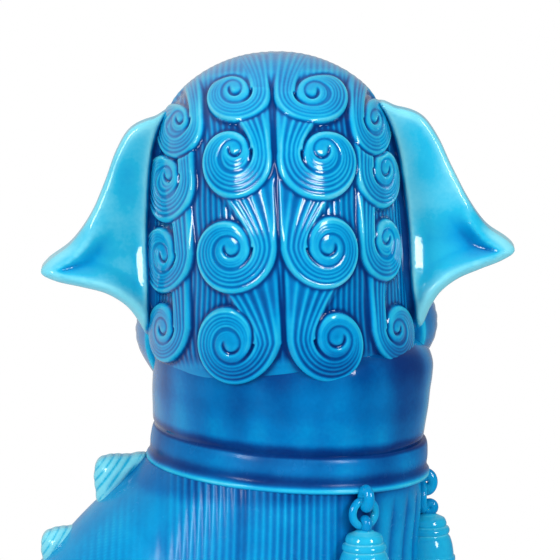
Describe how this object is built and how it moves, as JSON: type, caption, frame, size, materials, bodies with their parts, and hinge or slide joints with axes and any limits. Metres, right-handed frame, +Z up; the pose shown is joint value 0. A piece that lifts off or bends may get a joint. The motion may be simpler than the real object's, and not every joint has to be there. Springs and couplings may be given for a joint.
{
  "type": "foo dog statue",
  "caption": "Seated guardian lion in turquoise-glazed stoneware, head turned over its left side, curled mane, belled collar, paw on a ball, on a rectangular hollow plinth.",
  "frame": {"origin": "centre of the plinth's underside", "axes": "+Z up; -X towards the chest and front paws, +X towards the tail; -Y the way the turned head faces"},
  "size_m": [0.2, 0.134, 0.3096],
  "materials": {
    "turquoise_glaze": "clear glossy turquoise glaze, paler on ridges and rims, deep blue where it pools",
    "pooled_glaze": "the same glaze lying thicker, a deeper blue"
  },
  "bodies": {
    "root": {"beard": "turquoise_glaze", "bell_chest": "turquoise_glaze", "bell_left": "turquoise_glaze", "bell_lug_chest": "turquoise_glaze", "bell_lug_left": "turquoise_glaze", "bell_lug_right": "turquoise_glaze", "bell_right": "turquoise_glaze", "bell_ring_chest": "turquoise_glaze", "bell_ring_left": "turquoise_glaze", "bell_ring_right": "turquoise_glaze", "brocade_ball": "turquoise_glaze", "brow_left": "turquoise_glaze", "brow_right": "turquoise_glaze", "cheek_curl_left": "turquoise_glaze", "cheek_curl_right": "turquoise_glaze", "collar_band": "turquoise_glaze", "ear_left": "turquoise_glaze", "ear_right": "turquoise_glaze", "elbow_flame_left": "turquoise_glaze", "elbow_flame_right": "turquoise_glaze", "eye_left": "turquoise_glaze", "eye_right": "turquoise_glaze", "face_shell": "turquoise_glaze", "fang_lower_left": "turquoise_glaze", "fang_lower_right": "turquoise_glaze", "fang_upper_left": "turquoise_glaze", "fang_upper_right": "turquoise_glaze", "foreleg_left": "turquoise_glaze", "foreleg_right": "turquoise_glaze", "forepaw_left": "turquoise_glaze", "forepaw_right": "turquoise_glaze", "haunch_left": "turquoise_glaze", "haunch_right": "turquoise_glaze", "hind_foot_left": "turquoise_glaze", "hind_foot_right": "turquoise_glaze", "lower_jaw": "turquoise_glaze", "mane_shell": "turquoise_glaze", "neck": "pooled_glaze", "nose": "turquoise_glaze", "plinth_box": "turquoise_glaze", "plinth_top": "turquoise_glaze", "spine_tuft_1": "turquoise_glaze", "spine_tuft_2": "turquoise_glaze", "spine_tuft_3": "turquoise_glaze", "spine_tuft_4": "turquoise_glaze", "tail_lock_left": "turquoise_glaze", "tail_lock_middle": "turquoise_glaze", "tail_lock_right": "turquoise_glaze", "tail_root": "turquoise_glaze", "tongue": "turquoise_glaze", "torso": "turquoise_glaze"}
  },
  "joints": []
}
